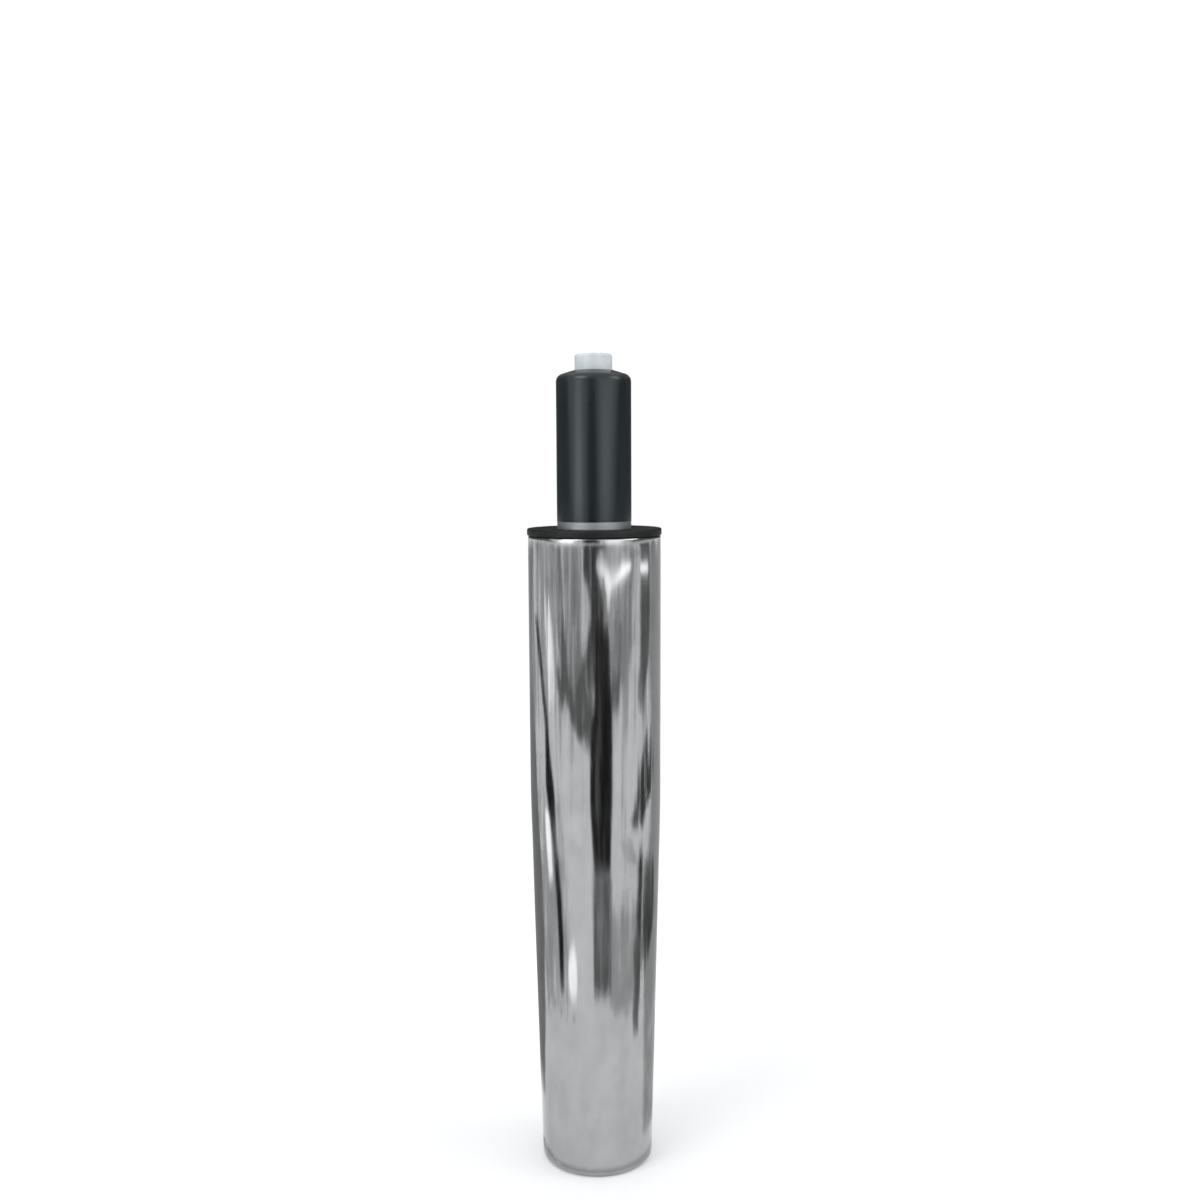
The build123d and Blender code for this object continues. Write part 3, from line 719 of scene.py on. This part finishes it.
def ground_rod():
    """Piston rod: rounded tip, clip groove, neck through the bearing, shank, and the riveted end."""
    groove = ROD_NECK - CLIP_GROOVE
    shoulder = high("bearing_upper_race")
    rod = shank_radius()
    rivet = ROD_NECK + RIVET_REACH
    outline = rounded(
        [
            (0, low("piston_rod")),
            (ROD_NECK, low("piston_rod"), ROD_TIP_ROUND),
            (ROD_NECK, low("retaining_clip") - CLIP_PLAY),
            (groove, low("retaining_clip") - CLIP_PLAY),
            (groove, high("retaining_clip") + CLIP_PLAY),
            (ROD_NECK, high("retaining_clip") + CLIP_PLAY),
            (ROD_NECK, shoulder),
            (rod, shoulder, EDGE_BREAK),
            (rod, low("piston"), EDGE_BREAK),
            (ROD_NECK, low("piston")),
            (ROD_NECK, high("piston_washer")),
            (rivet, high("piston_washer")),
            (rivet, high("piston_rod"), RIVET_HEIGHT / 2),
            (0, high("piston_rod")),
        ]
    )
    stands_for(placed("ground_rod", turned("ground_rod", outline)), "piston_rod")


def bearing_ball_set():
    """Balls of the thrust bearing, one turned round the axis into its pockets."""
    radius = (high("bearing_balls") - low("bearing_balls")) / 2
    middle = low("bearing_balls") + radius
    turns = [math.pi * step / BALL_RINGS for step in range(BALL_RINGS + 1)]
    outline = [(radius * math.sin(turn), middle - radius * math.cos(turn)) for turn in turns]
    mesh = turned("bearing_ball_set", outline, closed=False, sides=BALL_MERIDIANS)
    mesh.transform(Matrix.Translation(Vector((BALL_CIRCLE / 2, 0, 0)) * MM))
    ball = placed("bearing_ball_set", mesh)
    ring = {"Count": BALL_COUNT, "Finish": finishes["bearing_steel"]}
    stands_for(grown(ball, copies_round_axis(), ring), "bearing_balls")


chromed_column()
finned_bush()
enamelled_spindle()
pale_button()
pressed_base_plate()
stamped_washer()
ground_rod()
bearing_ball_set()


# Stage: a pale floor that sweeps up into a wall all round, in millimetres
FLOOR_RADIUS = 2500
FLOOR_SWEEP = 1000
FLOOR_HOLE = 18.5
WALL_TOP = 1500
FLOOR_GLOW = 0.12
WALL_GLOW = 0.2
GLOW_RISE = 800  # height at which the paper has its wall's glow
LIGHT_TARGET = Vector((0, 0, 200))


def pale_floor():
    """Matt white paper sweep, cut out under the foot so that light from below reaches the underside.

    From below it lets the eye through. Its wall glows a little, as backlit paper does.
    """
    material, tree, shader = new_finish("white_paper_sweep", Roughness=0.9)
    shader.inputs["Base Color"].default_value = srgb("#E8E9EA")
    shader.inputs["Emission Color"].default_value = srgb("#FFFFFF")
    place = add_node(tree, "ShaderNodeTexCoord").outputs["Object"]
    height = add_node(tree, "ShaderNodeSeparateXYZ", {"Vector": place}).outputs["Z"]
    glow = {"Value": height, "From Max": GLOW_RISE * MM, "To Min": FLOOR_GLOW, "To Max": WALL_GLOW}
    tree.links.new(
        add_node(tree, "ShaderNodeMapRange", glow).outputs[0], shader.inputs["Emission Strength"]
    )
    facing = add_node(tree, "ShaderNodeNewGeometry").outputs["Backfacing"]
    clear = add_node(tree, "ShaderNodeBsdfTransparent")
    mixed = add_node(tree, "ShaderNodeMixShader", {0: facing, 1: shader.outputs[0], 2: clear.outputs[0]})
    add_node(tree, "ShaderNodeOutputMaterial", {"Surface": mixed.outputs[0]}).is_active_output = True
    outline = rounded([(FLOOR_RADIUS, WALL_TOP), (FLOOR_RADIUS, 0, FLOOR_SWEEP), (FLOOR_HOLE, 0)])
    floor = placed("paper_sweep", turned("paper_sweep", outline, closed=False))
    floor.data.materials.append(material)


def room_light():
    """Even white light from above the sweep."""
    world = bpy.data.worlds.new("room_light")
    world.use_nodes = True
    world.node_tree.nodes["Background"].inputs["Color"].default_value = srgb("#FDFDFD")
    world.node_tree.nodes["Background"].inputs["Strength"].default_value = 1.0
    bpy.context.scene.world = world


def soft_light(name, place, width, power):
    """Square soft light that faces the lift, with its power in watts."""
    light = bpy.data.lights.new(name, "AREA")
    light.size = width * MM
    light.energy = power
    lamp = placed(name, light)
    lamp.location = Vector(place) * MM
    lamp.rotation_euler = (LIGHT_TARGET - Vector(place)).to_track_quat("-Z", "Y").to_euler()


# Cards: things seen only as reflections, bent round the axis. A card is a list of rows, each
# (distance from the axis, height, left, right, cover), in millimetres and in degrees round from the front.
CARD_STEP = 5.0  # between two rows of a card's mesh
CARD_BEND = 6.0  # between two columns of it, in degrees
CARD_RADIUS = 170.0
CARD_FOOT = 1.0  # lowest height of a card, so that it stays off the floor
RIM_COVER = -0.3  # at the outer edge of a card's feather


def standing(*rows, radius=CARD_RADIUS):
    """Rows of an upright card, each given as (height, left, right) and, where it isn't solid, its cover."""
    return [(radius, height, left, right, *(cover or [1])) for height, left, right, *cover in rows]


def lying(*rows):
    """Rows of a card on the floor, each given as (distance from the axis, left, right) and its cover."""
    return [(distance, CARD_FOOT, left, right, *(cover or [1])) for distance, left, right, *cover in rows]


def smoothed(rows):
    """Rows on a smooth curve through the given ones, a card step apart."""
    ends = [rows[0], *rows, rows[-1]]
    curve = []
    for before, start, stop, after in zip(ends, ends[1:], ends[2:], ends[3:]):
        steps = max(1, math.ceil(math.hypot(stop[0] - start[0], stop[1] - start[1]) / CARD_STEP))
        for step in range(steps):
            curve.append([on_curve(step / steps, *four) for four in zip(before, start, stop, after)])
    return curve + [list(rows[-1])]


def on_curve(t, a, b, c, d):
    """Value that goes smoothly from b to c as t goes from 0 to 1, with a before them and d after them."""
    square = 2 * a - 5 * b + 4 * c - d
    cube = 3 * b - a - 3 * c + d
    return (2 * b + (c - a) * t + square * t**2 + cube * t**3) / 2


def card_finish(name, shade, ragged, grain):
    """Light of one brightness where a card's cover is high, with a soft and ragged border.

    The grain is the size of the raggedness around and along the card, in millimetres.
    """
    material = bpy.data.materials.new(name)
    material.use_nodes = True
    tree = material.node_tree
    tree.nodes.clear()
    around, along = grain
    pattern = mottle(tree, around, stretch=(1, 1, around / along), detail=3)
    reach_out = {"From Min": PATTERN_LOW, "From Max": PATTERN_HIGH, "To Min": -ragged, "To Max": ragged}
    noise = add_node(tree, "ShaderNodeMapRange", {"Value": pattern, **reach_out})
    cover = add_node(tree, "ShaderNodeAttribute", attribute_name="cover").outputs["Fac"]
    border = add_node(tree, "ShaderNodeMath", {0: cover, 1: noise.outputs[0]}, operation="ADD")
    settings = {"Value": border.outputs[0]}
    share = add_node(tree, "ShaderNodeMapRange", settings, interpolation_type="SMOOTHSTEP").outputs[0]
    glow = add_node(tree, "ShaderNodeEmission", {"Color": (shade, shade, shade, 1)})
    clear = add_node(tree, "ShaderNodeBsdfTransparent")
    mixed = add_node(tree, "ShaderNodeMixShader", {0: share, 1: clear.outputs[0], 2: glow.outputs[0]})
    add_node(tree, "ShaderNodeOutputMaterial", {"Surface": mixed.outputs[0]})
    material.cycles.emission_sampling = "NONE"
    return material


def card(name, shade, rows, feather=5.0, fade=8.0, ragged=0.25, grain=(16, 60)):
    """Card whose sides fade over the feather, in degrees, and ends over the fade, in millimetres."""
    rows = smoothed(rows)
    points, covers, faces = [], [], []
    travelled = [0.0]
    for last, row in zip(rows, rows[1:]):
        travelled.append(travelled[-1] + math.hypot(row[0] - last[0], row[1] - last[1]))
    spans = max(1, math.ceil(max(right - left for _, _, left, right, _ in rows) / CARD_BEND))
    for run, (distance, height, left, right, cover) in zip(travelled, rows):
        end = min(1.0, run / fade, (travelled[-1] - run) / fade) * cover
        across = [(left + (right - left) * span / spans, end) for span in range(spans + 1)]
        for degrees, share in [(left - feather, RIM_COVER), *across, (right + feather, RIM_COVER)]:
            angle = math.radians(degrees)
            spot = Vector((math.sin(angle) * distance, -math.cos(angle) * distance, max(height, CARD_FOOT)))
            points.append(spot * MM)
            covers.append(share)
    width = spans + 3
    for corner in range(0, len(points) - width, width):
        for first in range(corner, corner + width - 1):
            faces.append((first, first + width, first + width + 1, first + 1))
    hang(name, card_finish(name, shade, ragged, grain), points, covers, faces)


def veil(name, shade, radius, rows, rightwards, ragged, grain):
    """Closed ring of soft streaks all round, with rows (height, cover) and more cover towards the right."""
    points, covers, faces = [], [], []
    for height, cover in rows:
        for side in range(SIDES):
            angle = math.tau * side / SIDES
            points.append(Vector((math.sin(angle) * radius, -math.cos(angle) * radius, height)) * MM)
            covers.append(cover + rightwards * math.sin(angle))
    for ring in range(len(rows) - 1):
        for side in range(SIDES):
            first, second = ring * SIDES + side, ring * SIDES + (side + 1) % SIDES
            faces.append((first, first + SIDES, second + SIDES, second))
    hang(name, card_finish(name, shade, ragged, grain), points, covers, faces)


def hang(name, finish, points, covers, faces):
    """Puts a card's mesh in the scene so that only reflections show it."""
    mesh = bpy.data.meshes.new(name)
    mesh.from_pydata(points, [], faces)
    mesh.attributes.new("cover", "FLOAT", "POINT").data.foreach_set("value", covers)
    mesh.materials.append(finish)
    item = placed(name, mesh)
    item.visible_camera = False
    item.visible_diffuse = False
    item.visible_transmission = False
    item.visible_shadow = False


# Brightness of the cards, where the room's is 1
BLACK = 0.02
DARK = 0.08
SOOT = 0.15
DIM = 0.18
SLATE = 0.28
GREY = 0.36
ASH = 0.42
SILVER = 0.48
PALE = 0.6
WHITE = 2.2
LAMP = 3.2

pale_floor()
room_light()
soft_light("key_light", (-1000, -900, 1500), 900, 9)
soft_light("side_light", (1300, -300, 1100), 800, 4)

# Streaks in front, from the mouth of the column downwards
card("front_board", BLACK, standing(
    (200, 2, 18, 0.4), (188, 2, 22, 0.8), (161, 0, 25), (146, -6, 26), (118, -8, 26), (100, -7, 25),
    (84, -5, 24), (66, -3, 23),
), feather=3, fade=4, ragged=0.2)
card("front_board_foot", DIM, standing(
    (72, -5, 25), (50, -5, 25, 0.8), (30, -4, 25, 0.8), (2, -4, 24), radius=169,
), feather=4, ragged=0.3, grain=(10, 60))
card("front_board_top", DARK, standing(
    (241, -16, 18), (234, -15, 15), (230, -15, 8), (227, -15, -2), (222, -15, 0), (216, -11, 7),
    (208, -6, 10), (196, -5, 11), (182, -12, 8, 0.8), (164, -10, 4, 0.7), radius=172,
), feather=7, fade=3, ragged=0.4, grain=(14, 50))
card("front_shade", DIM, standing(
    (198, -6, 22, 0.6), (180, -16, -4, 0.6), (160, -32, -6, 0.6), (146, -26, -6), (134, -18, -4, 0.7),
    radius=173,
), feather=5, ragged=0.4)
card("left_sash", DIM, standing(
    (240, -67, -56, 0.5), (206, -63, -54, 0.6), (186, -60, -50, 0.8), (172, -55, -45), (160, -46, -37),
    (148, -37, -22), (138, -24, -12), radius=174,
), feather=5, ragged=0.4)
card("left_grey", GREY, standing(
    (236, -44, -22, -0.1), (205, -48, -20, 0.1), (176, -48, -20, 0.8), (160, -46, -14), (150, -36, -12, 0.8),
    radius=175,
), feather=8, ragged=0.6)
card("right_shade", GREY, standing(
    (236, 8, 64, 0.3), (214, 20, 72, 0.3), (196, 24, 74, 0.4), (178, 26, 56, 0.6), (162, 38, 48, 0.4),
    radius=175,
), feather=8, ragged=0.5)
card("right_blot", DIM, standing(
    (178, 30, 40, 0.7), (162, 28, 38), (150, 28, 36, 0.8), radius=172,
), feather=4, ragged=0.5)
card("low_shade", PALE, standing(
    (60, 28, 66, 0.7), (40, 28, 70, 0.9), (1, 30, 66),
) + lying(
    (150, 38, 56, 0.6),
), feather=10, fade=20, ragged=0.4, grain=(24, 36))

# Streaks on the left
card("left_rod", BLACK, standing(
    (200, -120, -111, 0.7), (189, -113, -106, 0.8), (161, -98, -92, 0.8), (147, -92, -86, 0.8),
    (128, -90, -80), (118, -90, -75), (106, -85, -72), (85, -77, -70, 0.8), (65, -73, -66), (35, -69, -62),
    (6, -68, -62, 0.8), radius=168,
), feather=4, fade=4, ragged=0.25, grain=(8, 60))
card("left_cloud", PALE, standing(
    (238, -100, -66, 0.7), (208, -96, -64, 0.8), (176, -100, -66, 0.5), (150, -82, -60, 0.3), radius=176,
), feather=12, ragged=0.7, grain=(20, 40))
card("left_cloud_low", PALE, standing(
    (130, -112, -62, 0.3), (84, -116, -60, 0.5), (44, -112, -52, 0.7), (1, -104, -56, 0.6), radius=176,
) + lying(
    (150, -100, -60, 0.5),
), feather=10, fade=20, ragged=0.5, grain=(24, 36))
card("left_blot", DIM, standing(
    (182, -68, -56, 0.4), (164, -60, -50), (152, -56, -46, 0.6), radius=172,
), feather=6, ragged=0.4)
card("left_glint", WHITE, standing(
    (214, -91, -83, 0.4), (196, -88, -77, 0.5), (176, -84, -72, 0.6), (160, -81, -72, 0.6),
    (147, -80, -76, 0.3), radius=167,
), feather=5, ragged=0.4, grain=(10, 60))
card("left_sliver", WHITE, standing(
    (108, -94, -89), (88, -93, -83), (62, -88, -80), radius=166,
), feather=2, ragged=0.1, grain=(8, 30))
card("low_sliver", WHITE, standing(
    (36, -44, -41), (18, -51, -36), (2, -45, -39), radius=166,
), feather=3, ragged=0.2, grain=(8, 30))
card("low_speck", DIM, lying((158, -43, -41), (150, -43, -41)), feather=4, fade=3, ragged=0.1)
card("left_edge", SLATE, standing(
    (236, -160, -126, 0.8), (185, -170, -134, 0.8), (128, -160, -124), (84, -150, -116), (40, -160, -112),
    (1, -165, -116),
) + lying(
    (160, -165, -116), (110, -165, -120), (80, -165, -120, 0.7), (60, -160, -118, 0.4),
), feather=8, ragged=0.2, grain=(40, 200))

# Streaks on the right
card("right_strip_high", DIM, standing(
    (240, 80, 100), (228, 84, 100, 0.8), (214, 82, 101), (190, 82, 100), (176, 80, 97), (161, 75, 87, 0.8),
    (150, 76, 84, 0.4), radius=171,
), feather=6, fade=3, ragged=0.3)
card("right_smudge", DARK, standing(
    (150, 100, 104, 0.4), (138, 92, 108, 0.7), (125, 83, 110, 0.8), (113, 76, 104, 0.9), (103, 70, 90, 0.8),
    (94, 63, 80, 0.7), (86, 62, 72, 0.4), radius=171,
), feather=14, fade=8, ragged=0.5, grain=(20, 50))
card("right_bundle", DARK, standing(
    (84, 84, 100, 0.6), (72, 82, 118, 0.8), (54, 80, 124, 0.8), (40, 74, 122, 0.8), (24, 74, 104, 0.7),
    (10, 76, 92, 0.7), radius=171,
), feather=12, fade=14, ragged=0.5, grain=(18, 60))
card("right_tail", DIM, standing(
    (40, 74, 86, 0.8), (1, 72, 84), radius=169,
) + lying(
    (160, 70, 82), (130, 72, 80),
), feather=4, ragged=0.4)
card("right_chevron", PALE, standing(
    (86, 44, 58), (78, 48, 66), (70, 58, 76), radius=172,
), feather=6, fade=5)
card("right_edge", SILVER, standing(
    (236, 108, 160, 0.8), (150, 110, 150, 0.8), (90, 110, 150), (50, 104, 150), (1, 104, 150), radius=174,
) + lying(
    (160, 104, 150, 0.8), (100, 102, 150, 0.8), (60, 98, 140, 0.8), (34, 84, 120, 0.7),
), feather=16, ragged=0.2, grain=(40, 200))

# Small sparks near the column's mouth, and the dark gap between two of them
card("spark_left", WHITE, standing(
    (226, 5, 11, 0.6), (224, 4, 16), (222, 8, 20), (219, 17, 25), (215, 17, 27, 0.9), (211, 20, 24, 0.7),
    (207, 20, 23, 0.5), (201, 21, 24, 0.3), radius=166,
), feather=4, fade=1, ragged=0.15, grain=(8, 8))
card("spark_right", LAMP, standing(
    (226, 50, 58, 0.6), (224.5, 46, 60), (222, 42, 58), (219, 35, 46, 0.9), (217, 28, 38, 0.7),
    (214, 21, 28, 0.4), (211, 20, 24, 0.2), radius=165,
), feather=4, fade=1, ragged=0.15, grain=(8, 8))
card("spark_web", WHITE, standing(
    (225, 16, 44, 0.3), (222, 16, 42, 0.5), (217, 18, 34, 0.6), (214, 20, 28, 0.5), radius=167,
), feather=4, fade=1, ragged=0.1, grain=(8, 8))
card("spark_gap", DIM, standing(
    (232, 50, 76, 0.2), (229, 36, 76, 0.5), (226, 36, 46, 0.6), radius=168,
), feather=5, fade=1, ragged=0.1, grain=(8, 8))
card("spark_dot", LAMP, standing(
    (225, 86, 92), (223.5, 81, 97), (221, 81, 97), (219, 86, 92), radius=166,
), feather=5, fade=1, ragged=0.1)

# Painted shade of the floor round the foot: darker cards on the floor that only the chrome's reflection shows
card("foot_shade", PALE, lying(
    (28, -150, 150, 0.1), (24, -150, 150, 0.8), (20, -160, 160),
), feather=20, fade=0.5, ragged=0.1)
card("foot_corner_shade", DIM, lying(
    (30, -106, -78, 0.1), (26, -106, -66, 0.7), (22, -100, -50),
), feather=12, fade=0.5, ragged=0.3)

# What the spindle reflects, above the column's streaks
card("spindle_front", BLACK, standing(
    (470, -10, 2, 0.4), (330, -12, 2, 0.7), (290, -13, 3), (241, -14, 4), radius=169,
), feather=12, fade=1, ragged=0.1)
card("spindle_left", LAMP, standing(
    (470, -52, -40, 0.3), (380, -52, -40, 0.4), (290, -52, -38, 0.6), (241, -54, -38),
), feather=14, fade=1, ragged=0.15)
card("spindle_right", WHITE, standing(
    (470, 22, 66, 0.3), (340, 22, 62, 0.45), (290, 24, 50, 0.7), (241, 24, 40),
), feather=12, fade=1, ragged=0.15)
card("spindle_left_edge", DARK, standing(
    (470, -176, -100, 0.5), (350, -176, -92, 0.8), (241, -176, -76),
), feather=16, fade=1, ragged=0.2)
card("spindle_right_edge", DARK, standing(
    (470, 96, 178, 0.5), (350, 90, 178, 0.8), (241, 64, 178),
), feather=16, fade=1, ragged=0.2)

# Faint streaks all round, denser towards the mouth
veil("room_streaks", ASH, 178, (
    (-20, -0.7), (60, -0.3), (130, 0.0), (165, 0.4), (236, 0.4), (242, -0.6),
), rightwards=0.15, ragged=0.6, grain=(30, 90))
veil("room_wisps", SOOT, 182, (
    (60, -0.7), (150, -0.1), (236, 0.1), (242, -0.7),
), rightwards=-0.1, ragged=0.6, grain=(18, 90))


# Camera of the photograph, fitted to the outline of the lift
CAMERA_DISTANCE = 521.4  # from the axis
CAMERA_RISE = 28.1  # above the column's mouth
CAMERA_TILT = math.radians(90 - 7.03)  # from straight down
CAMERA_TURN = math.radians(-0.215)
CAMERA_LEAN = math.radians(-0.285)
FILM_WIDTH = 36
LENS_LENGTH = 41.52
FRAME_SHIFT = 0.025


def photo_camera():
    """Camera in front of the lift, a little above the column's mouth, tilted down."""
    camera = bpy.data.cameras.new("photo_camera")
    camera.sensor_width = FILM_WIDTH
    camera.lens = LENS_LENGTH
    camera.shift_y = FRAME_SHIFT
    view = placed("photo_camera", camera)
    place = Vector((0, -CAMERA_DISTANCE, high("column_tube") + CAMERA_RISE)) * MM
    view.matrix_world = (
        Matrix.Translation(place)
        @ Matrix.Rotation(CAMERA_TURN, 4, "Z")
        @ Matrix.Rotation(CAMERA_TILT, 4, "X")
        @ Matrix.Rotation(CAMERA_LEAN, 4, "Z")
    )
    bpy.context.scene.camera = view


photo_camera()
bpy.context.scene.view_settings.view_transform = "Standard"
